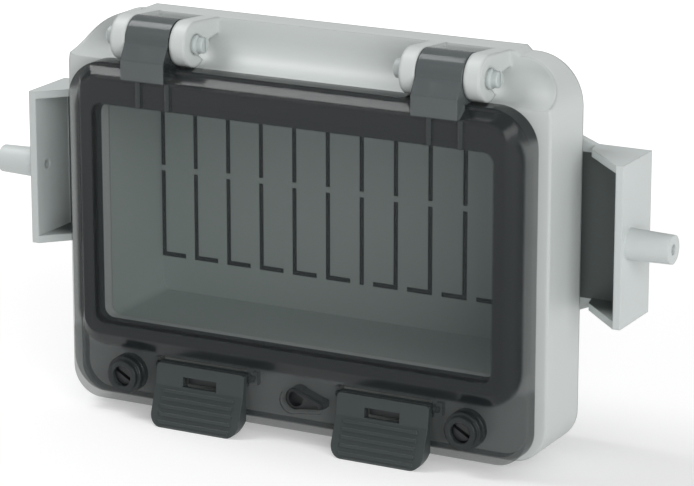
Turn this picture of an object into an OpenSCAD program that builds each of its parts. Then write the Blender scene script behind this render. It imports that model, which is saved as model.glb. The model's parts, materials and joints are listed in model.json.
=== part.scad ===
// Hinged window enclosure for rail modules: a deep front frame with a smoked door,
// a rear box with knock-out strips, and a fixing bracket on each side.
// X runs to the right, Y to the back, Z up. The origin is the centre of the frame's back rim.

/* [Frame] */
// Width of the frame
frame_w = 239.5; // [225:1:300]
// Height of the frame
frame_h = 175.5; // [165:1:220]
// Depth of the frame from its back rim to its front face
frame_d = 33.5; // [31:0.5:45]
// Radius of the two upper corners
top_r = 22; // [16:1:26]
// Radius of the two lower corners
bottom_r = 16; // [12:1:24]
// Wall thickness of the frame
frame_wall = 2.5; // [2:0.1:3.2]

/* [Hinge ledge] */
// Height of the stepped-back band along the top
ledge_h = 17.9; // [17:0.1:22]
// Depth of frame that is left behind the ledge
ledge_d = 13.5; // [11:0.5:15]
// Radius of the hollow between ledge and band
ledge_r = 12; // [8:1:13]
// Height of the raised hinge plate above the frame
plate_rise = 2.3; // [1.5:0.1:3.5]
// Width of the raised hinge plate
plate_w = 186; // [176:1:194]

/* [Opening and collar] */
// Width of the opening inside the collar
open_w = 200.8; // [190:1:203]
// Top edge of the opening above the frame's centre
open_top = 53.6; // [48:0.5:56]
// Bottom edge of the opening below the frame's centre
open_low = 50.5; // [44:0.5:51]
// Height that the collar stands in front of the frame's face
collar_rise = 6.5; // [4:0.1:6.6]
// Wall thickness of the collar
collar_wall = 2.5; // [1.8:0.1:2.6]

/* [Rear box] */
// Inner width of the box
box_w = 212; // [207:0.5:213]
// Inner top of the box above the frame's centre
box_top = 63; // [58:0.5:63]
// Inner bottom of the box below the frame's centre
box_low = 53.7; // [52:0.5:56]
// Distance of the box's inner back wall behind the frame's rim
box_back = 23.6; // [22:0.2:40]
// Wall thickness of the box
box_wall = 2.4; // [1.8:0.1:2.6]
// Thickness of the flat seal between box and frame
seal_t = 0.8; // [0.5:0.1:1.5]

/* [Knock-out strips] */
// Width of one module, which is the pitch of the strips
module_w = 17.5; // [16:0.1:17.5]
// Number of strips
strips = 12; // [8:1:12]
// Height of the strips
strip_h = 86; // [70:1:92]
// Height of the strips' middle above the frame's centre
strip_mid = 5.7; // [2:0.1:8]
// Width of the thinned lines between the strips
slot_w = 2.3; // [1.4:0.1:3]
// Height of the bridge half way up each line
bridge_h = 2.6; // [1.5:0.1:4]

/* [Door] */
// Distance of the door's edge from the frame's side
door_inset = 5.4; // [4:0.1:7]
// Depth of the door's skirt from its flange face
skirt_d = 9.2; // [8:0.1:11]
// Wall thickness of the door
door_wall = 3; // [2.4:0.1:3.2]
// Height of the raised window above the flange
dome_rise = 4.5; // [3.5:0.1:6]
// Gap between the closed door and the frame
door_gap = 0.3; // [0.2:0.05:0.5]

/* [Hinges] */
// Distance of each hinge's middle from the centre
hinge_x = 72; // [66:1:76]
// Width of the door's strap at each hinge
strap_w = 22.2; // [18:0.2:24]
// Radius of the strap's knuckle
knuckle_r = 10.5; // [9:0.1:10.9]
// Radius of the hinge pin
pin_r = 4.3; // [3:0.1:4.8]
// Width of each lug
lug_w = 7.6; // [6:0.2:9]

/* [Latches] */
// Distance of each latch's middle from the centre
latch_x = 46.2; // [40:0.2:50]
// Width of each latch
latch_w = 45.3; // [38:0.1:46]
// Distance that each latch reaches below the frame
latch_drop = 5.4; // [3:0.1:8]
// Number of finger ribs on each latch
ribs = 5; // [3:1:5]

/* [Door screws] */
// Distance of each screw from the centre
screw_x = 85.6; // [84:0.2:92]
// Distance of the screws above the frame's lower edge
screw_up = 14.2; // [13:0.1:16]
// Radius of the screw's head
head_r = 4.4; // [3.5:0.1:5]

/* [Brackets] */
// Distance of each bracket's outer face from the centre
bracket_x = 148.7; // [140:0.5:160]
// Width of the bracket's outer wall, front to back
bracket_d = 30.9; // [28:0.1:34]
// Height of the bracket
bracket_h = 72.4; // [64:0.2:80]
// Height of the bracket's middle above the frame's centre
bracket_z = 11.4; // [6:0.1:12]
// Thickness of the bracket's walls
bracket_wall = 3.5; // [2.5:0.1:4]
// Length of the hollow fixing stud
stud_l = 20; // [14:0.5:30]
// Radius of the hole through the stud
stud_bore_r = 2.3; // [1.6:0.1:3]

/* [Hidden] */
$fn = 48;
eps = 0.02;
fit_gap = 0.05;
air = 0.35;

// frame
half_w = frame_w / 2;
half_h = frame_h / 2;
face_y = -frame_d;
wall_back_y = face_y + frame_wall + 0.2;
ledge_z = half_h - ledge_h;
ledge_wall = ledge_z - frame_wall;
open_r = 5;
ledge_mid = half_w - top_r;
ledge_end_r = 30;

// rear box
box_front_y = wall_back_y + seal_t;
box_rim = 2.2;
box_rim_t = 2.4;
box_corner_r = 4;
strip_web = 0.6;
ear_back_y = -2;
ear_t = 3;
ear_r = 5;
ear_top_z = ledge_z + 5.6;
ear_low_z = -box_low - 12.3;
ear_top_x = [-78, 0, 78];
ear_low_x = [-68, 0, 68];
tap_r = 1.5;
tap_head_r = 3;
tap_head_t = 1.8;
tap_l = 8;

// door
door_half_w = half_w - door_inset;
door_back_y = face_y - door_gap;
flange_y = door_back_y - skirt_d;
flange_in_y = flange_y + door_wall;
dome_y = flange_y - dome_rise;
dome_in_y = dome_y + door_wall;
hinge_drop = 6.2;
pin_z = half_h - hinge_drop;
pin_y = face_y - 0.5;
door_top = pin_z - knuckle_r - 0.1;
door_low = half_h - 0.4;
dome_side = 8.9;
dome_top = door_top - 5;
dome_low = open_low + 4.5;
seal_w = 3.7;
seal_in = 1.6;

// hinges
lug_r = knuckle_r - 0.2;
lug_in_x = strap_w / 2 + 0.4;
pin_left = lug_in_x + lug_w + 6;
pin_right = lug_in_x + lug_w + 5;
plate_top = half_h + plate_rise;
rib_w = 2.2;
strap_rib_l = 13;

// latches
pivot_y = flange_y + 2.8;
pivot_z = -half_h + 20.2;
barrel_r = 2.6;
trunnion_r = 1.5;
trunnion_l = 2.2;
window_side = 0.55;
window_up = 4.6;
window_down = 3;
seat_wall = 3.4;
latch_low = half_h + latch_drop;
latch_up = 2.4;
latch_wall = 2.2;
latch_bulge = 10;
rib_pitch = 3.6;
rib_rise = 0.8;
rib_t = 1.5;
catch_w = 16;
catch_t = 3.4;
catch_front_y = flange_y + 1;
catch_z = -half_h + 15.2;
slot_half_w = 8.7;
slot_half_h = 2.3;

// door screws
screw_z = -half_h + screw_up;
boss_r = head_r + 4.3;
ring_r = head_r + 2.9;
boss_rise = 3.3;
ring_rise = 5.6;
neck_r = 2;
head_l = 4.6;
screw_reach = 5;
frame_hole_r = neck_r + 0.7;

// keyhole
key_r = 6;
key_l = 15;
key_rim = 1.4;
lock_seat_r = 3.6;
key_lip = 0.5;

// brackets
bracket_back_y = bracket_d / 4 + 0.2;
bracket_front_y = bracket_back_y - bracket_d;
leg_l = 26.2;
leg_tip_d = 10.1;
pad_l = 3.6;
tongue_x = box_w / 2 + box_wall + pad_l;
tongue_t = 3;
tongue_back_y = bracket_back_y + 12.6;
web_flare = 4.8;
bracket_screw_y = bracket_back_y + 6.6;
bracket_screw_z = 18;
stud_y = bracket_front_y + 9;
stud_root_r = 7;
stud_end_r = 6.4;

LIGHT = [0.76, 0.79, 0.78];
GREY = [0.5, 0.53, 0.53];
SMOKE = [0.25, 0.28, 0.29, 0.6];
BLACK = [0.08, 0.08, 0.09];
STEEL = [0.7, 0.71, 0.72];

// ---------- shared shapes ----------

// stands a flat outline, drawn in X and Z, between the depths y0 and y1
module deep(y0, y1) {
    translate([0, y1, 0]) rotate([90, 0, 0]) linear_extrude(y1 - y0) children();
}

// carries an outline, drawn in Y and Z, along X from x0 to x1
module wide(x0, x1) {
    translate([x0, 0, 0]) rotate([90, 0, 90]) linear_extrude(x1 - x0) children();
}

// outline with round corners, its own radius above and below
module panel(half, low, top, r_top, r_low) {
    union() {
        translate([-half, low + r_low]) square([2 * half, top - low - r_low - r_top]);
        translate([-half + r_top, low + r_low]) square([2 * (half - r_top), top - low - r_low]);
        translate([-half + r_low, low]) square([2 * (half - r_low), top - low - r_top]);
        for (s = [-1, 1]) {
            translate([s * (half - r_top), top - r_top]) circle(r_top);
            translate([s * (half - r_low), low + r_low]) circle(r_low);
        }
    }
}

// round bar along X
module bar_x(x0, x1, y, z, r) {
    translate([x0, y, z]) rotate([0, 90, 0]) cylinder(h = x1 - x0, r = r);
}

// round bar along Y
module bar_y(y0, y1, x, z, r) {
    translate([x, y1, z]) rotate([90, 0, 0]) cylinder(h = y1 - y0, r = r);
}

// repeats a piece in mirror image on the left side
module side(s) {
    mirror([s < 0 ? 1 : 0, 0, 0]) children();
}

// ---------- frame ----------

// side view of what the ledge takes away, grown inwards by g
module ledge_profile(g) {
    back = -ledge_d + g;
    low = ledge_z - g;
    r = ledge_r + g;
    difference() {
        translate([face_y - 1, low]) square([back - face_y + 1, half_h]);
        difference() {
            translate([back - r, low]) square([r + eps, r]);
            translate([back - r, low + r]) circle(r);
        }
    }
}

// half section of the ledge's round end, about its own upright axis
module ledge_end_section() {
    low = ledge_z;
    difference() {
        translate([0, low]) square([ledge_end_r, half_h]);
        difference() {
            translate([ledge_end_r - ledge_r, low]) square([ledge_r + eps, ledge_r]);
            translate([ledge_end_r - ledge_r, low + ledge_r]) circle(ledge_r);
        }
    }
}

// what the ledge takes away: straight between the corners, sweeping forwards at both ends
module ledge_cut() {
    wide(-ledge_mid, ledge_mid) ledge_profile(0);
    for (s = [-1, 1]) translate([s * ledge_mid, -ledge_d - ledge_end_r, 0])
        rotate_extrude($fn = 128) ledge_end_section();
}

module frame_block() {
    difference() {
        deep(face_y, 0) panel(half_w, -half_h, half_h, top_r, bottom_r);
        ledge_cut();
    }
}

module frame_hollow() {
    difference() {
        deep(wall_back_y, 1) panel(half_w - frame_wall, -half_h + frame_wall, half_h - frame_wall,
            top_r - frame_wall, bottom_r - frame_wall);
        wide(-half_w - 1, half_w + 1) ledge_profile(frame_wall);
    }
}

module lug(x) {
    wide(x - lug_w / 2, x + lug_w / 2) difference() {
        union() {
            translate([pin_y, pin_z]) circle(lug_r);
            polygon([[pin_y, pin_z + lug_r], [-ledge_d + 1, plate_top], [-ledge_d + 1, half_h - 5],
                [pin_y + 13, half_h - 6], [pin_y + lug_r - 0.2, pin_z - 1.2], [pin_y, pin_z]]);
        }
        translate([pin_y, pin_z]) circle(pin_r + fit_gap);
        translate([pin_y, pin_z]) rotate(-38) translate([0, -pin_r * 0.62]) square([lug_r + 2, pin_r * 1.24]);
    }
}

module front_frame() {
    color(LIGHT) difference() {
        union() {
            difference() {
                frame_block();
                frame_hollow();
            }
            deep(-ledge_d, 0) polygon([[-plate_w / 2 - 3.5, half_h - 1], [-plate_w / 2, plate_top],
                [plate_w / 2, plate_top], [plate_w / 2 + 3.5, half_h - 1]]);
            deep(face_y - collar_rise, wall_back_y) panel(open_w / 2 + collar_wall,
                -open_low - collar_wall, open_top + collar_wall, open_r + collar_wall, open_r + collar_wall);
            for (s = [-1, 1], t = [-1, 1]) lug(s * hinge_x + t * (lug_in_x + lug_w / 2));
            for (x = ear_top_x) bar_y(-ledge_d + 1.4, ear_back_y - ear_t, x, ear_top_z, ear_r - 1);
            for (x = ear_low_x) bar_y(wall_back_y - 1, ear_back_y - ear_t, x, ear_low_z, ear_r - 1);
            for (s = [-1, 1])
                bar_y(wall_back_y - 1, wall_back_y + 9, s * screw_x, screw_z, frame_hole_r + 2.4);
        }
        deep(face_y - collar_rise - 1, wall_back_y + 1)
            panel(open_w / 2, -open_low, open_top, open_r, open_r);
        for (x = ear_top_x) bar_y(ear_back_y - ear_t - tap_l + 2, 1, x, ear_top_z, tap_r + fit_gap);
        for (x = ear_low_x) bar_y(ear_back_y - ear_t - tap_l, 1, x, ear_low_z, tap_r + fit_gap);
        for (s = [-1, 1]) {
            bar_y(face_y - 1, wall_back_y + 6, s * screw_x, screw_z, frame_hole_r);
            translate([s * latch_x - catch_w / 2, face_y - 1, catch_z - catch_t / 2])
                cube([catch_w, frame_wall + 2, catch_t]);
        }
    }
}

// ---------- rear box ----------

module ear(x, z, root) {
    deep(ear_back_y - ear_t, ear_back_y) union() {
        translate([x, z]) circle(ear_r);
        translate([x - ear_r, min(z, root)]) square([2 * ear_r, abs(root - z)]);
    }
}

// outline of all the thinned lines round the knock-out strips
module strip_lines() {
    half = strips / 2;
    leg = (strip_h - bridge_h) / 2;
    for (i = [-half:half], s = [-1, 1])
        translate([i * module_w - slot_w / 2, strip_mid + (s > 0 ? bridge_h / 2 : -bridge_h / 2 - leg)])
            square([slot_w, leg]);
    for (i = [0:strips - 1], s = [-1, 1]) {
        left_half = i < half;
        x = (i - half) * module_w + (left_half ? 0 : module_w * 0.4);
        translate([x - slot_w / 2, strip_mid + s * (strip_h / 2 - slot_w / 2) - slot_w / 2])
            square([module_w * 0.6 + slot_w, slot_w]);
    }
}

module rear_box() {
    half = box_w / 2;
    color(GREY) difference() {
        union() {
            deep(box_front_y, box_back + box_wall) panel(half + box_wall, -box_low - box_wall,
                box_top + box_wall, box_corner_r + box_wall, box_corner_r + box_wall);
            deep(box_front_y, box_front_y + box_rim_t) panel(half + box_wall + box_rim,
                -box_low - box_wall - box_rim, min(box_top + box_wall + box_rim, ledge_wall - 0.3),
                box_corner_r + box_wall, box_corner_r + box_wall);
            for (x = ear_top_x) ear(x, ear_top_z, box_top + 1);
            for (x = ear_low_x) ear(x, ear_low_z, -box_low - 1);
            for (s = [-1, 1], t = [-1, 1]) side(s)
                bar_x(half + 1, tongue_x, bracket_screw_y, bracket_z + t * bracket_screw_z, ear_r);
        }
        deep(box_front_y - 1, box_back)
            panel(half, -box_low, box_top, box_corner_r, box_corner_r);
        deep(box_back - 1, box_back + box_wall - strip_web) strip_lines();
        for (x = ear_top_x) bar_y(ear_back_y - ear_t - 1, 1, x, ear_top_z, tap_r + 0.2);
        for (x = ear_low_x) bar_y(ear_back_y - ear_t - 1, 1, x, ear_low_z, tap_r + 0.2);
        for (s = [-1, 1], t = [-1, 1]) side(s)
            bar_x(half + 0.8, tongue_x + 1, bracket_screw_y, bracket_z + t * bracket_screw_z,
                tap_r + fit_gap);
    }
}

module box_gasket() {
    half = box_w / 2;
    color(BLACK) difference() {
        deep(wall_back_y, box_front_y) panel(half + box_wall + box_rim - 0.4,
            -box_low - box_wall - box_rim + 0.4, min(box_top + box_wall + box_rim, ledge_wall - 0.3) - 0.4,
            box_corner_r + box_wall, box_corner_r + box_wall);
        deep(wall_back_y - 1, box_front_y + 1)
            panel(half + 0.3, -box_low - 0.3, box_top + 0.3, box_corner_r, box_corner_r);
    }
}

module tap_y(x, z, l) {
    difference() {
        union() {
            bar_y(ear_back_y - l, ear_back_y + 0.5, x, z, tap_r);
            bar_y(ear_back_y, ear_back_y + tap_head_t, x, z, tap_head_r);
        }
        for (a = [0, 90]) translate([x, ear_back_y + tap_head_t, z]) rotate([0, a, 0])
            cube([3.4, 2, 0.8], center = true);
    }
}

module box_screws() {
    color(STEEL) {
        for (x = ear_top_x) tap_y(x, ear_top_z, tap_l);
        for (x = ear_low_x) tap_y(x, ear_low_z, tap_l);
    }
}

// ---------- door ----------

module strap(x) {
    wide(x - strap_w / 2, x + strap_w / 2) union() {
        translate([pin_y, pin_z]) circle(knuckle_r);
        polygon([[pin_y - knuckle_r, pin_z], [dome_y - 1.4, door_top + 3.4], [dome_y - 1.4, dome_top - 1],
            [dome_y + 1, dome_top - 1.6], [flange_y + 1, door_top - 1], [pin_y - 2, door_top - 1],
            [pin_y, pin_z]]);
    }
    for (dx = [-2.4, strap_w / 2 + 1.4])
        translate([x + dx - rib_w / 2, dome_y - 1.3, dome_top - strap_rib_l])
            cube([rib_w, 2.3, strap_rib_l]);
}

module raised_window(front_y, back_y, shrink, r) {
    half = door_half_w - dome_side - shrink;
    grow = (back_y - front_y) * 0.85;
    corner = [[-half + r, -dome_low + shrink + r], [half - r, -dome_low + shrink + r],
        [half - r, dome_top - shrink - r], [-half + r, dome_top - shrink - r]];
    hull() {
        for (c = corner) bar_y(front_y, front_y + eps, c[0], c[1], r, $fn = 32);
        for (c = corner) translate([sign(c[0]) * grow, 0, c[1] > 0 ? grow * 0.8 : -grow * 2])
            bar_y(back_y - eps, back_y, c[0], c[1], r, $fn = 32);
    }
}

// flat front view of the keyhole, grown by g
module keyhole(g) {
    r = key_r - key_rim + g;
    tail = key_l - key_rim + g;
    union() {
        circle(r);
        polygon([[0, r - 0.2], [tail, g - 0.6], [tail, -g - 2.6], [0, -r + 0.2]]);
    }
}

module door_shell() {
    difference() {
        union() {
            deep(flange_y, door_back_y)
                panel(door_half_w, -door_low, door_top, top_r - door_inset + 2, bottom_r - 2);
            raised_window(dome_y, flange_y + eps, 0, 8);
        }
        deep(flange_in_y, door_back_y + 1) panel(door_half_w - door_wall + 0.4, -door_low + door_wall - 0.4,
            door_top - door_wall + 0.4, top_r - door_inset - 0.4, bottom_r - 4);
        raised_window(dome_in_y, flange_in_y + 0.1, 2.3, 6);
    }
}

// the two ears behind the flange that hold a latch's trunnions
module latch_seat(s) {
    for (t = [-1, 1])
        translate([s * latch_x + t * (latch_w / 2 + window_side + seat_wall / 2) - seat_wall / 2,
                flange_y + 1, pivot_z - window_down])
            cube([seat_wall, door_wall + 2.2, 2 * window_down]);
}

module latch_window(s) {
    half = latch_w / 2 + window_side;
    translate([s * latch_x - half, flange_y - 1, pivot_z - window_down])
        cube([2 * half, skirt_d, window_up + window_down]);
    translate([s * latch_x - catch_w / 2 - 1.4, flange_y - 1, catch_z - catch_t / 2 - 3])
        cube([catch_w + 2.8, skirt_d, pivot_z - window_down - catch_z + catch_t / 2 + 3.1]);
    bar_x(s * latch_x - latch_w / 2 - trunnion_l - 0.3, s * latch_x + latch_w / 2 + trunnion_l + 0.3,
        pivot_y, pivot_z, trunnion_r + fit_gap);
}

module door() {
    color(SMOKE) difference() {
        union() {
            door_shell();
            for (s = [-1, 1]) {
                strap(s * hinge_x);
                latch_seat(s);
                bar_y(flange_y - boss_rise, flange_y + 1, s * screw_x, screw_z, boss_r);
                bar_y(flange_y - ring_rise, flange_y, s * screw_x, screw_z, ring_r);
            }
            translate([0, 0, screw_z]) deep(flange_y - 1.2, flange_y + 1) keyhole(key_rim);
        }
        for (s = [-1, 1]) {
            bar_x(s * hinge_x - strap_w, s * hinge_x + strap_w, pin_y, pin_z, pin_r + fit_gap);
            latch_window(s);
            bar_y(flange_y - ring_rise - 1, flange_in_y - 1.2, s * screw_x, screw_z, head_r + air);
            bar_y(flange_y - 2, flange_in_y + 1, s * screw_x, screw_z, neck_r + air);
        }
        translate([0, 0, screw_z]) deep(flange_y - 2, flange_in_y + 1) keyhole(0);
    }
}

module door_gasket() {
    half = open_w / 2 - seal_in;
    color(BLACK) difference() {
        deep(dome_in_y, face_y - collar_rise - door_gap) panel(half + seal_w, -open_low + seal_in - seal_w,
            open_top - seal_in + seal_w, open_r + seal_w, open_r + seal_w);
        deep(dome_in_y - 1, face_y) panel(half, -open_low + seal_in, open_top - seal_in, open_r, open_r);
    }
}

module lock_insert() {
    color(BLACK) difference() {
        translate([0, 0, screw_z]) deep(flange_in_y, door_back_y - 0.6) keyhole(key_lip);
        bar_y(flange_in_y - 1, flange_in_y + 3, 0, screw_z, lock_seat_r);
    }
}

// ---------- hinge pins ----------

// moulded pin with a plain left end and a split, barbed right end
module hinge_pin(x) {
    barb = 0.3;
    color(LIGHT) difference() {
        translate([x, pin_y, pin_z]) rotate([0, 90, 0]) rotate_extrude() polygon([
            [0, -pin_left], [pin_r - 0.6, -pin_left], [pin_r, -pin_left + 0.6],
            [pin_r, lug_in_x + lug_w + 0.3], [pin_r + barb, lug_in_x + lug_w + 0.7],
            [pin_r + barb, lug_in_x + lug_w + 1.5], [pin_r - 0.6, lug_in_x + lug_w + 2.1],
            [pin_r - 0.6, pin_right - 0.5], [pin_r - 1.1, pin_right], [0, pin_right]]);
        translate([x + pin_right - 6, pin_y - 0.6, pin_z - pin_r - 2]) cube([7, 1.2, 2 * pin_r + 4]);
    }
}

// ---------- latches ----------

// side view of the latch's outer skin, from the top edge down to the finger edge
function latch_front() = [[flange_y - 1.7, pivot_z + latch_up], [flange_y - 3.2, pivot_z - 7.6],
    [flange_y - latch_bulge, -latch_low]];

module latch_side_view(back_y) {
    p = latch_front();
    polygon([p[0], p[1], p[2], [p[2][0] + latch_wall, -latch_low], [back_y, -half_h + 1.2],
        [back_y, pivot_z - window_down - 0.5], [flange_y + 0.4, pivot_z - 1.6],
        [flange_y + 0.4, pivot_z + latch_up]]);
}

module latch_hollow() {
    p = latch_front();
    polygon([p[1] + [latch_wall, 3], p[1] + [latch_wall, 0], p[2] + [latch_wall + 0.6, -1],
        [flange_y + 2, -latch_low - 1], [flange_y + 2, pivot_z - 5.6]]);
}

module latch(s) {
    p = latch_front();
    slope = atan2(p[1][0] - p[2][0], p[1][1] - p[2][1]);
    half = latch_w / 2;
    color(SMOKE) translate([s * latch_x, 0, 0]) difference() {
        union() {
            intersection() {
                difference() {
                    wide(-half, half) latch_side_view(flange_y - door_gap);
                    wide(-half + latch_wall, half - latch_wall) latch_hollow();
                }
                deep(flange_y - latch_bulge - 2, flange_y + 3)
                    panel(half, -latch_low, pivot_z + latch_up, 2, 6);
            }
            bar_x(-half, half, pivot_y, pivot_z, barrel_r);
            wide(-half, half) polygon([[flange_y - 1, pivot_z + 1.8], [pivot_y, pivot_z + 1.8],
                [pivot_y, pivot_z - 2], [flange_y - 1, pivot_z - 2]]);
            bar_x(-half - trunnion_l, half + trunnion_l, pivot_y, pivot_z, trunnion_r);
            for (i = [0:ribs - 1])
                translate([0, p[1][0], p[1][1]]) rotate([-slope, 0, 0])
                    translate([-half + 4.4, -rib_rise, -1.6 - i * rib_pitch - rib_t])
                        cube([latch_w - 8.8, rib_rise + 0.6, rib_t]);
        }
        translate([-slot_half_w, flange_y - latch_bulge, catch_z - slot_half_h])
            cube([2 * slot_half_w, latch_bulge + 2, 2 * slot_half_h]);
    }
}

// hooked plate on the frame that each latch closes over
module catch(s) {
    color(BLACK) translate([s * latch_x, 0, catch_z]) union() {
        translate([-catch_w / 2, catch_front_y, -catch_t / 2])
            cube([catch_w, wall_back_y + 1 - catch_front_y, catch_t]);
        translate([-catch_w / 2 - 2, wall_back_y, -4]) cube([catch_w + 4, 2, 8]);
    }
}

// ---------- door screws ----------

module door_screw(s) {
    base_y = flange_in_y - 1.2 - 0.3;
    color(BLACK) difference() {
        union() {
            bar_y(base_y - head_l, base_y, s * screw_x, screw_z, head_r);
            bar_y(base_y - 1, face_y + screw_reach, s * screw_x, screw_z, neck_r);
        }
        translate([s * screw_x, base_y - head_l, screw_z]) rotate([0, 30, 0])
            cube([2 * head_r + 1, 4, 1.5], center = true);
    }
}

module screw_ring(s) {
    color(BLACK) difference() {
        bar_y(flange_in_y + 0.3, flange_in_y + 1.8, s * screw_x, screw_z, head_r);
        bar_y(flange_in_y, flange_in_y + 2, s * screw_x, screw_z, neck_r);
    }
}

// ---------- brackets ----------

module bracket(s) {
    low = bracket_z - bracket_h / 2;
    top = bracket_z + bracket_h / 2;
    tip = bracket_x - leg_l;
    color(LIGHT) side(s) difference() {
        union() {
            for (z = [low, top - bracket_wall]) translate([0, 0, z]) linear_extrude(bracket_wall)
                polygon([[bracket_x, bracket_back_y], [tip, bracket_back_y],
                    [tip + 2.4, bracket_back_y - leg_tip_d], [bracket_x - bracket_wall, bracket_front_y],
                    [bracket_x, bracket_front_y]]);
            translate([bracket_x - bracket_wall, bracket_front_y, low])
                cube([bracket_wall, bracket_d, bracket_h]);
            deep(bracket_back_y - bracket_wall, bracket_back_y) polygon([[bracket_x, low], [bracket_x, top],
                [tip + 1.5, top], [tongue_x, top + web_flare], [tongue_x, low - web_flare],
                [tip + 1.5, low]]);
            translate([tongue_x, bracket_back_y - bracket_wall, bracket_z - 31])
                cube([tongue_t, tongue_back_y - bracket_back_y + bracket_wall, 62]);
            translate([bracket_x - 1, stud_y, bracket_z]) rotate([0, 90, 0])
                cylinder(h = stud_l + 1, r1 = stud_root_r, r2 = stud_end_r);
        }
        bar_x(bracket_x - bracket_wall - 1, bracket_x + stud_l + 1, stud_y, bracket_z, stud_bore_r);
        for (t = [-1, 1])
            bar_x(tongue_x - 1, tongue_x + tongue_t + 1, bracket_screw_y, bracket_z + t * bracket_screw_z,
                tap_r + 0.2);
    }
}

module bracket_screws(s) {
    x = tongue_x + tongue_t;
    color(STEEL) side(s) for (t = [-1, 1]) translate([0, 0, bracket_z + t * bracket_screw_z])
        difference() {
            union() {
                bar_x(x - tongue_t - pad_l, x + 0.5, bracket_screw_y, 0, tap_r);
                bar_x(x, x + tap_head_t, bracket_screw_y, 0, tap_head_r);
            }
            for (a = [0, 90]) translate([x + tap_head_t, bracket_screw_y, 0]) rotate([a, 0, 0])
                cube([2, 3.4, 0.8], center = true);
        }
}

front_frame();
rear_box();
box_gasket();
box_screws();
door();
door_gasket();
hinge_pin(-hinge_x);  // left_hinge_pin
hinge_pin(hinge_x);  // right_hinge_pin
latch(-1);  // left_latch
latch(1);  // right_latch
catch(-1);  // left_catch
catch(1);  // right_catch
door_screw(-1);  // left_door_screw
door_screw(1);  // right_door_screw
screw_ring(-1);  // left_screw_ring
screw_ring(1);  // right_screw_ring
lock_insert();
bracket(-1);  // left_bracket
bracket(1);  // right_bracket
bracket_screws(-1);  // left_bracket_screws
bracket_screws(1);  // right_bracket_screws
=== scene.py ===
# %% [markdown]
# # A hinged window enclosure, dressed in Blender
# The real object is a wall box for rail modules. A deep, light grey frame stands in front of
# a grey box, and a smoked window door hangs on two pins. Every rigid piece was built in CAD,
# so this script brings those solids in first and never moves them. It then gives each one a
# moulded, smoked, rubber or steel finish, and sets up the floor, the lamps and the camera.

# %% Load the solids
import bpy
import json
import math
import numpy as np
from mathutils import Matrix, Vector


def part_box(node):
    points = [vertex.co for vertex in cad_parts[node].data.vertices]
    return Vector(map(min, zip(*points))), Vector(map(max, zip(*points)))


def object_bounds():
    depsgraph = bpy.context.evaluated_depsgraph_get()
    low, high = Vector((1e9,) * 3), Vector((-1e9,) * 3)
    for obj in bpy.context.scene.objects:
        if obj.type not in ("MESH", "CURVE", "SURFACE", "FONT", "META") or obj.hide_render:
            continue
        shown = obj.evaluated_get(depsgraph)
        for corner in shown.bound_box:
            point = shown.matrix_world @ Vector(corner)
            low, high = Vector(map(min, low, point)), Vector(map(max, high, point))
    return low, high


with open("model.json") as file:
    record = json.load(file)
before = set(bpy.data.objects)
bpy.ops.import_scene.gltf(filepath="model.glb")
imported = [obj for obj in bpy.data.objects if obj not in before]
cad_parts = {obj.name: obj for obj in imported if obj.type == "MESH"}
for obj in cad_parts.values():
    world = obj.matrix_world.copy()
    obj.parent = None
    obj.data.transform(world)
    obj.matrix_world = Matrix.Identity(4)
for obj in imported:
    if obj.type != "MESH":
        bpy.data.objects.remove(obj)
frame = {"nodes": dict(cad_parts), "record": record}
nodes = frame["nodes"]
cad_low, cad_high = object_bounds()
MM = 0.001
print("solids:", len(nodes), "overall size in mm:",
      [round((b - a) / MM, 1) for a, b in zip(cad_low, cad_high)])

# %% [markdown]
# ## A small language for shader maths
# A finish is a graph of nodes, and a graph is slow to write one link at a time. `Wire` wraps
# one socket and overloads the arithmetic signs, so `0.4 + 0.1 * grain` adds the Math nodes
# by itself. `Graph` owns the nodes of one material, or of the world: its `node` method makes
# any other node, sets it up, and fills its sockets with values or with wires.

# %% A socket that can be added and multiplied
class Wire:
    """One output socket of a graph, usable in sums, differences and products."""

    def __init__(self, graph, socket):
        self.graph = graph
        self.socket = socket

    def other(self, output):
        """Another output of the same node."""
        return Wire(self.graph, self.socket.node.outputs[output])

    def maths(self, operation, first, second):
        return self.graph.node("ShaderNodeMath", {"operation": operation}, {0: first, 1: second})

    def __add__(self, other):
        return self.maths("ADD", self, other)

    def __radd__(self, other):
        return self.maths("ADD", other, self)

    def __sub__(self, other):
        return self.maths("SUBTRACT", self, other)

    def __rsub__(self, other):
        return self.maths("SUBTRACT", other, self)

    def __mul__(self, other):
        return self.maths("MULTIPLY", self, other)

    def __rmul__(self, other):
        return self.maths("MULTIPLY", other, self)

    def above(self, low, high):
        """0 below low, 1 above high, and a smooth step between them."""
        return self.graph.node("ShaderNodeMapRange", {"interpolation_type": "SMOOTHSTEP"},
                               {"Value": self, "From Min": low, "From Max": high})

    def below(self, low, high):
        """1 below low, 0 above high, and a smooth step between them."""
        return 1 - self.above(low, high)

    def size(self):
        return self.maths("ABSOLUTE", self, 0.0)

    def greater(self, other):
        return self.maths("MAXIMUM", self, other)

    def across(self, other):
        """Length of the arrow whose two sides are self and other."""
        return self.maths("SQRT", self * self + other * other, 0.0)


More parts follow.
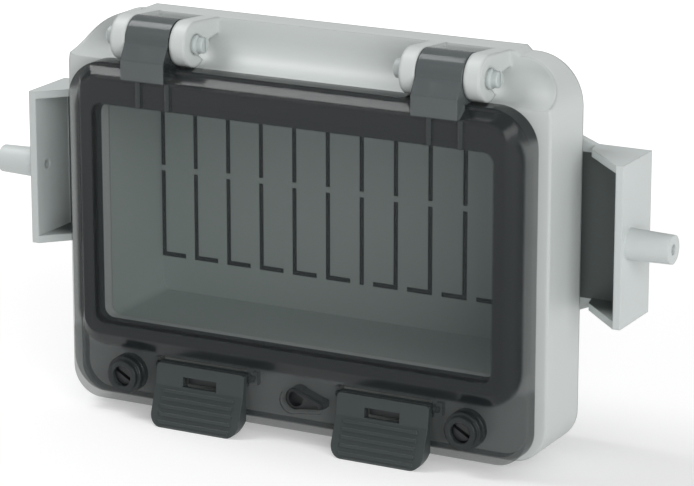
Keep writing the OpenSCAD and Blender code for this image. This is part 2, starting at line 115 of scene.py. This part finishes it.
# %% A graph and the one method that adds nodes to it
class Graph:
    """The nodes of a new material or world, which start with nothing but the output."""

    def __init__(self, owner, output_kind="ShaderNodeOutputMaterial"):
        owner.use_nodes = True
        self.owner = owner
        self.tree = owner.node_tree
        self.tree.nodes.clear()
        self.output = self.tree.nodes.new(output_kind)

    def node(self, kind, settings=None, sockets=None, output=0):
        """Adds a node of this kind, applies its settings, then fills its sockets."""
        made = self.tree.nodes.new(kind)
        for name, value in (settings or {}).items():
            setattr(made, name, value)
        for name, value in (sockets or {}).items():
            if isinstance(value, Wire):
                self.tree.links.new(value.socket, made.inputs[name])
            else:
                made.inputs[name].default_value = value
        return Wire(self, made.outputs[output])

    def place(self):
        """Object coordinates: a point's place on the piece, in metres."""
        return self.node("ShaderNodeTexCoord", output="Object")

    def axes(self):
        """The three Object coordinates as single numbers: x right, y back and z up."""
        x = self.node("ShaderNodeSeparateXYZ", None, {"Vector": self.place()})
        return x, x.other(1), x.other(2)

    def noise(self, place, scale, detail):
        """Smooth noise; the scale is how many bumps there are in one metre."""
        return self.node("ShaderNodeTexNoise", None,
                         {"Vector": place, "Scale": scale, "Detail": detail})

    def soft_edge(self, radius):
        """A normal that looks rounded over this radius at every edge."""
        return self.node("ShaderNodeBevel", {"samples": 8}, {"Radius": radius})

    def mix(self, factor, first, second):
        """A colour between first and second."""
        return self.node("ShaderNodeMix", {"data_type": "RGBA"},
                         {0: factor, 6: first, 7: second}, output=2)

    def show(self, shader):
        self.tree.links.new(shader.socket, self.output.inputs["Surface"])
        return self.owner


def new_finish(name):
    return Graph(bpy.data.materials.new(name))


def srgb(red, green, blue):
    """Turns a colour as seen on a screen, 0 to 255, into the linear values that light uses:
    c / 12.92 below 0.04045, and ((c + 0.055) / 1.055) to the power 2.4 above it."""
    c = np.array([red, green, blue]) / 255
    linear = np.where(c <= 0.04045, c / 12.92, ((c + 0.055) / 1.055) ** 2.4)
    return (*linear.tolist(), 1.0)


# %% [markdown]
# ## Painted shade on the mouldings
# Two places of the light mouldings get a darker colour that is painted shade, standing in
# for the shade that gathers there. One is the bottom of the thinned lines round the knock-out
# strips. The other is the inside of the two brackets, deep in their channel. Each is a mask: a
# number from 0 to 1, worked out from a point's place.

# %% The thinned lines between the knock-out strips
MODULE = 17.5 * MM
STRIPS = 12
BACK_WALL = 2.4 * MM
WEB = 0.6 * MM
# Painted shade: the colour that the thinned lines turn to, standing in for their shadow.
GROOVE_PAINTED_SHADE = srgb(40, 43, 44)
strips_half = STRIPS / 2 * MODULE + 2 * MM
strips_top = 52.0 * MM
box_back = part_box("rear_box")[1].y
box_inside = box_back - BACK_WALL


def painted_groove_shade(x, y, z):
    """1 at the bottom and on the sides of the thinned lines: behind the inner face of the
    back wall and in front of its outer face, within the strips' reach sideways and up.
    There the colour turns to painted shade, standing in for the shadow in the grooves."""
    return y.above(box_inside + 0.2 * MM, box_inside + 0.5 * MM) \
        * y.below(box_back - 0.5 * WEB, box_back - 0.3 * WEB) \
        * x.size().below(strips_half - 0.1 * MM, strips_half) \
        * z.size().below(strips_top - 0.1 * MM, strips_top)


# %% The brackets' channels
BRACKET_WALL = 3.5 * MM
BRACKET_DEPTH = 30.9 * MM
BRACKET_HEIGHT = 72.4 * MM
BRACKET_MID = 11.4 * MM
STUD_REACH = 20.0 * MM
# Painted shade: the colour deep in the brackets' channels, standing in for the shade there.
CHANNEL_PAINTED_SHADE = srgb(86, 93, 92)
bracket_low, bracket_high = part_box("right_bracket")
leg_inner = bracket_high.x - STUD_REACH - BRACKET_WALL
channel_half = BRACKET_HEIGHT / 2 - BRACKET_WALL
shade_start = bracket_low.y + 4 * MM
shade_full = shade_start + 14 * MM
web_front = bracket_low.y + BRACKET_DEPTH - BRACKET_WALL
print("channel between x =", round(bracket_low.x / MM, 1), "and", round(leg_inner / MM, 1), "mm")


def painted_channel_shade(x, y, z):
    """1 deep in a bracket's channel, on the front of its web and on the inner sides of its
    flanges, fading to 0 towards the flanges' front edges; the outer wall stays light. There
    the colour turns to painted shade, standing in for the shade deep in the channel."""
    return y.above(shade_start, shade_full) \
        * y.below(web_front + 0.2 * MM, web_front + 0.5 * MM) \
        * x.size().below(leg_inner - 0.4 * MM, leg_inner - 0.2 * MM) \
        * (z - BRACKET_MID).size().below(channel_half + 0.1 * MM, channel_half + 0.3 * MM)


# %% [markdown]
# ## Moulded plastic
# The frame, the brackets, the rear box and the small dark parts are injection moulded. Such
# a skin isn't perfectly even: the tool's surface leaves a very fine grain, and the colour
# drifts a little where the plastic flowed. One noise drives the grain, a wide one drives the
# drift. The edges of a moulding are never knife sharp, so a Bevel node rounds the shading
# over a chosen radius, which costs no geometry.

# %% Light grey, mid grey and black mouldings
def moulded(name, colour, shade, roughness, edge, dark=None):
    """Matte moulded plastic: its colour drifts to shade, and its edges look rounded over the
    length edge. Dark is a mask together with the colour of painted shade that it brings."""
    f = new_finish(name)
    place = f.place()
    drift = f.noise(place, 14.0, 3.0)
    grain = f.noise(place, 2600.0, 2.0)
    bump = f.node("ShaderNodeBump", None, {
        "Strength": 0.02, "Distance": 0.1 * MM, "Height": grain, "Normal": f.soft_edge(edge)})
    skin = f.mix(drift * 0.5, colour, shade)
    if dark:
        mask, dark_colour = dark
        skin = f.mix(mask(*f.axes()), skin, dark_colour)
    return f.show(f.node("ShaderNodeBsdfPrincipled", None, {
        "Base Color": skin, "Roughness": roughness + 0.08 * drift, "Normal": bump}))


shell_light = moulded("shell_light", srgb(203, 208, 206), srgb(197, 203, 201), 0.42, 2.4 * MM)
bracket_light = moulded("bracket_light", srgb(202, 208, 207), srgb(196, 203, 202), 0.44,
                        0.9 * MM, (painted_channel_shade, CHANNEL_PAINTED_SHADE))
pin_light = moulded("pin_light", srgb(186, 194, 193), srgb(180, 188, 187), 0.4, 0.4 * MM)
box_grey = moulded("box_grey", srgb(190, 201, 198), srgb(182, 193, 190), 0.5,
                   0.7 * MM, (painted_groove_shade, GROOVE_PAINTED_SHADE))
# Besides the door screws, this black also dresses the two catches in the latch windows; there it
# is painted shade: dark pieces put where the slots lie in shade.
dark_plastic = moulded("dark_plastic", srgb(32, 34, 36), srgb(28, 30, 32), 0.38, 0.3 * MM)
print("mouldings:", [m.name for m in (shell_light, bracket_light, pin_light, box_grey)])

# %% [markdown]
# ## Smoked window plastic
# The door is one clear moulding with a grey dye, so what lies behind it shows darkened. A
# closed solid meets each ray twice, once on the way in and once on the way out, so an alpha
# of one quarter on each skin lets rather more than half of the light through. Where the
# plastic is thick or bent, as in the rim of the window, the straps and the screw bosses, it
# holds back nearly all light. Real thickness could do that with absorption, but the exported
# model keeps only alpha, so smooth masks on the place of a point raise it there instead.

# %% Where the door lies
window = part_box("door_gasket")
window_mid = (window[0] + window[1]) / 2
window_half = (window[1] - window[0]) / 2
window_top = window_mid.z + window_half.z
window_bottom = window_mid.z - window_half.z
window_face = window[0].y - 3 * MM
door_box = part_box("door")
screw_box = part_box("right_door_screw")
screw_x, screw_z = [(screw_box[0][i] + screw_box[1][i]) / 2 for i in (0, 2)]
strap_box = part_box("right_hinge_pin")
strap_x = (strap_box[0].x + strap_box[1].x) / 2 + 1 * MM
strap_foot = door_box[0].z + 152.5 * MM
RIM_CORNER = 8.0 * MM
RIM_INNER = -3.5 * MM
RIM_OUTER = 8.5 * MM
STRAP_HALF = 11.3 * MM
BOSS_R = 8.8 * MM
BAND_FADE = 4.0 * MM
EDGE_FADE = 0.3 * MM
print("window seal in mm:", [round(2 * v / MM, 1) for v in window_half])


# %% Masks for the rim, the bands, the straps and the bosses
def rim_thickness_and_shade(x, y, z):
    """1 in the dark rim: a point's distance from the seal's rounded rectangle is the length
    of what it sticks out past the straight sides, less the corner radius. The rim's high
    alpha stands for its bent, thick plastic, and its darker colour is painted shade."""
    out_x = ((x - window_mid.x).size() - (window_half.x - RIM_CORNER)).greater(0.0)
    out_z = ((z - window_mid.z).size() - (window_half.z - RIM_CORNER)).greater(0.0)
    far = out_x.across(out_z) - RIM_CORNER
    return far.above(RIM_INNER, RIM_INNER + 1.3 * MM) \
        * far.below(RIM_OUTER - 1.2 * MM, RIM_OUTER + 1.2 * MM)


def painted_plate_shadow(x, y, z):
    """1 on the door's upper band above the window, which lies in the shade of the plate; its
    higher alpha and darker colour there are a painted shadow.
    """
    return z.above(window_top, window_top + BAND_FADE)


def painted_lower_shade(x, y, z):
    """1 on the door's lower band, below the window; its higher alpha and darker colour there
    are painted shade.
    """
    return z.below(window_bottom - BAND_FADE, window_bottom)


def rib_mask(x, y, z):
    """1 on the ribs that run down from the straps, in front of the window's face."""
    return y.below(window_face - 0.5 * MM, window_face - 0.2 * MM)


def strap_thickness_and_highlight(x, y, z):
    """1 on the two straps, above the point where they leave the door's face. Their high alpha
    stands for the thick plastic, and their lighter colour is a painted highlight.
    """
    return (x.size() - strap_x).size().below(STRAP_HALF, STRAP_HALF + EDGE_FADE) \
        * z.above(strap_foot, strap_foot + 2 * EDGE_FADE)


def boss_mask(x, y, z):
    """1 on the two screw bosses."""
    return (x.size() - screw_x).across(z - screw_z).below(BOSS_R, BOSS_R + EDGE_FADE)


# %% Smoked door and latches
def smoked(name, colour, alpha, roughness, edge, zones=()):
    """Glossy, partly clear plastic; alpha is the share that one skin holds back. Each zone
    is a mask with the alpha and the colour there, and a later zone lies over the earlier."""
    f = new_finish(name)
    x, y, z = f.axes()
    drift = f.noise(f.place(), 9.0, 2.0)
    for mask, zone_alpha, zone_colour in zones:
        part = mask(x, y, z)
        alpha = alpha * (1 - part) + part * zone_alpha
        colour = f.mix(part, colour, zone_colour)
    return f.show(f.node("ShaderNodeBsdfPrincipled", None, {
        "Base Color": colour,
        "Roughness": roughness + 0.05 * drift,
        "Alpha": alpha,
        "IOR": 1.49,
        "Specular IOR Level": 0.3,
        "Normal": f.soft_edge(edge)}))


door_smoke = smoked("door_smoke", srgb(54, 60, 61), 0.25, 0.12, 1.2 * MM, [
    # The upper band: painted shadow of the plate, as a higher alpha and a darker colour.
    (painted_plate_shadow, 0.68, srgb(40, 45, 46)),
    # The lower band: painted shade, as a higher alpha and a darker colour.
    (painted_lower_shade, 0.37, srgb(50, 56, 57)),
    # The rim: thick, bent plastic, with a darker colour that is painted shade.
    (rim_thickness_and_shade, 0.93, srgb(30, 35, 37)),
    (rib_mask, 0.9, srgb(50, 55, 56)),
    # The straps: thick plastic, with a lighter colour that is a painted highlight.
    (strap_thickness_and_highlight, 0.84, srgb(92, 98, 99)),
    (boss_mask, 0.9, srgb(40, 45, 46))])
latch_smoke = smoked("latch_smoke", srgb(64, 71, 71), 0.88, 0.26, 0.35 * MM)

# %% [markdown]
# ## Rubber and steel
# The seals are soft black rubber, dull and slightly uneven. The few screws are plain steel,
# turned on a lathe, so a stretched noise roughens them round their axis.

# %% Seal and screw finishes
def rubber(name, colour):
    """Dull black rubber with an uneven skin."""
    f = new_finish(name)
    skin = f.noise(f.place(), 420.0, 2.0)
    bump = f.node("ShaderNodeBump", None, {"Strength": 0.15, "Distance": 0.2 * MM, "Height": skin})
    return f.show(f.node("ShaderNodeBsdfPrincipled", None, {
        "Base Color": colour, "Roughness": 0.72 + 0.12 * skin, "Normal": bump}))


def turned_steel(name, colour):
    """Plain steel with fine turning marks, from a noise stretched along Y."""
    f = new_finish(name)
    stretched = f.node("ShaderNodeMapping", None, {"Vector": f.place(), "Scale": (1, 0.05, 1)})
    marks = f.noise(stretched, 1500.0, 2.0)
    return f.show(f.node("ShaderNodeBsdfPrincipled", None, {
        "Base Color": colour, "Metallic": 1.0, "Roughness": 0.28 + 0.2 * marks}))


seal_black = rubber("seal_black", srgb(24, 25, 27))
screw_steel = turned_steel("screw_steel", srgb(176, 178, 180))

# %% [markdown]
# ## Which piece wears which finish
# Each solid is named in the record together with a material slot, and the finishes above
# carry the names of those slots. So one loop over the record dresses every solid.

# %% Dress the solids
finishes = {"shell_light": shell_light, "bracket_light": bracket_light, "pin_light": pin_light,
            "box_grey": box_grey, "dark_plastic": dark_plastic, "door_smoke": door_smoke,
            "latch_smoke": latch_smoke, "seal_black": seal_black, "screw_steel": screw_steel}
for part in frame["record"]["subparts"]:
    mesh = nodes[part["node"]].data
    mesh.materials.clear()
    mesh.materials.append(finishes[part["material_slot"]])

# %% [markdown]
# ## Floor and backdrop
# The object stands on plain white, with only a soft shadow round its foot. The floor is a
# wide plane at the lowest point of the object. It is plain diffuse white, which keeps the
# shadow, and where it is seen directly a little light of its own is added: least near the
# foot, where the shadow lies, and enough further out for the open floor to read as white.
# The world is white too where the camera looks at it, and dimmer where it lights the part.

# %% White floor that keeps the shadow
FLOOR_SIZE = 14.0
NEAR_GLOW = 0.31
FAR_GLOW = 0.75
GLOW_FROM = 0.16
GLOW_TO = 0.9
WHITE = (1, 1, 1, 1)

f = new_finish("floor_white")
camera_ray = f.node("ShaderNodeLightPath", output="Is Camera Ray")
seen = camera_ray + camera_ray.other("Is Glossy Ray") + camera_ray.other("Is Transmission Ray")
plain = f.node("ShaderNodeBsdfDiffuse", None, {"Color": (0.8, 0.8, 0.8, 1)})
glow = f.node("ShaderNodeEmission", None, {"Color": WHITE, "Strength": 1.0})
glowing = f.node("ShaderNodeAddShader", None, {0: plain, 1: glow})
x, y, z = f.axes()
outside = x.across(y).above(GLOW_FROM, GLOW_TO)
share = seen * (outside * (FAR_GLOW - NEAR_GLOW) + NEAR_GLOW)
floor_white = f.show(f.node("ShaderNodeMixShader", None, {0: share, 1: plain, 2: glowing}))

half = FLOOR_SIZE / 2
corners = np.array([[-half, -half], [half, -half], [half, half], [-half, half]])
points = np.column_stack([corners, np.full(4, cad_low.z)])
floor_mesh = bpy.data.meshes.new("floor")
floor_mesh.from_pydata(points.tolist(), [], [(0, 1, 2, 3)])
floor = bpy.data.objects.new("floor", floor_mesh)
floor_mesh.materials.append(floor_white)
bpy.context.scene.collection.objects.link(floor)
print("floor height in mm:", round(cad_low.z / MM, 1))

# %% World light
WORLD_LIGHT = 0.42

sky = Graph(bpy.data.worlds.new("studio"), "ShaderNodeOutputWorld")
camera_ray = sky.node("ShaderNodeLightPath", output="Is Camera Ray")
direct = camera_ray.greater(camera_ray.other("Is Transmission Ray"))
strength = sky.node("ShaderNodeMapRange", None,
                    {"Value": direct, "To Min": WORLD_LIGHT, "To Max": 1.0})
bpy.context.scene.world = sky.show(
    sky.node("ShaderNodeBackground", None, {"Color": WHITE, "Strength": strength}))

# %% [markdown]
# ## Lamps
# The light is soft and even: the frame's front, right side and top are nearly as bright as
# each other. A large lamp stands to the front and right. A second one hangs above and to
# the left, and throws the soft shadow to the right of the foot.

# %% Front and overhead lamps
def area_lamp(name, place, aim, width, watts):
    """A square area lamp at place, turned so that its face looks at aim."""
    data = bpy.data.lights.new(name, "AREA")
    data.size = width
    data.energy = watts
    lamp = bpy.data.objects.new(name, data)
    lamp.location = place
    lamp.rotation_euler = (Vector(aim) - Vector(place)).to_track_quat("-Z", "Y").to_euler()
    bpy.context.scene.collection.objects.link(lamp)
    return lamp


middle = (cad_low + cad_high) / 2
front = area_lamp("front", middle + Vector((1.6, -1.3, 0.5)), middle, 1.6, 30)
above = area_lamp("above", middle + Vector((-0.85, -0.1, 1.3)), middle, 0.7, 11)
print("lamps:", front.name, front.data.energy, "W,", above.name, above.data.energy, "W")

# %% [markdown]
# ## Camera
# The object is seen from the right and from above, from far away with a long lens, so its
# parallel edges stay almost parallel. The camera is placed by two angles and a distance
# around a point near the middle of the door.

# %% Long lens from the upper right
AZIMUTH = math.radians(27.77)
ELEVATION = math.radians(15.81)
DISTANCE = 1.5293
LENS = 176.0
LOOK_AT = Vector((0.0049, 0.0, -0.0107))

towards = Vector((math.sin(AZIMUTH) * math.cos(ELEVATION),
                  -math.cos(AZIMUTH) * math.cos(ELEVATION), math.sin(ELEVATION)))
camera_data = bpy.data.cameras.new("camera")
camera_data.sensor_width = 36.0
camera_data.lens = LENS
camera = bpy.data.objects.new("camera", camera_data)
camera.location = LOOK_AT + towards * DISTANCE
camera.rotation_euler = (-towards).to_track_quat("-Z", "Y").to_euler()
bpy.context.scene.collection.objects.link(camera)
bpy.context.scene.camera = camera
bpy.context.scene.view_settings.view_transform = "Standard"
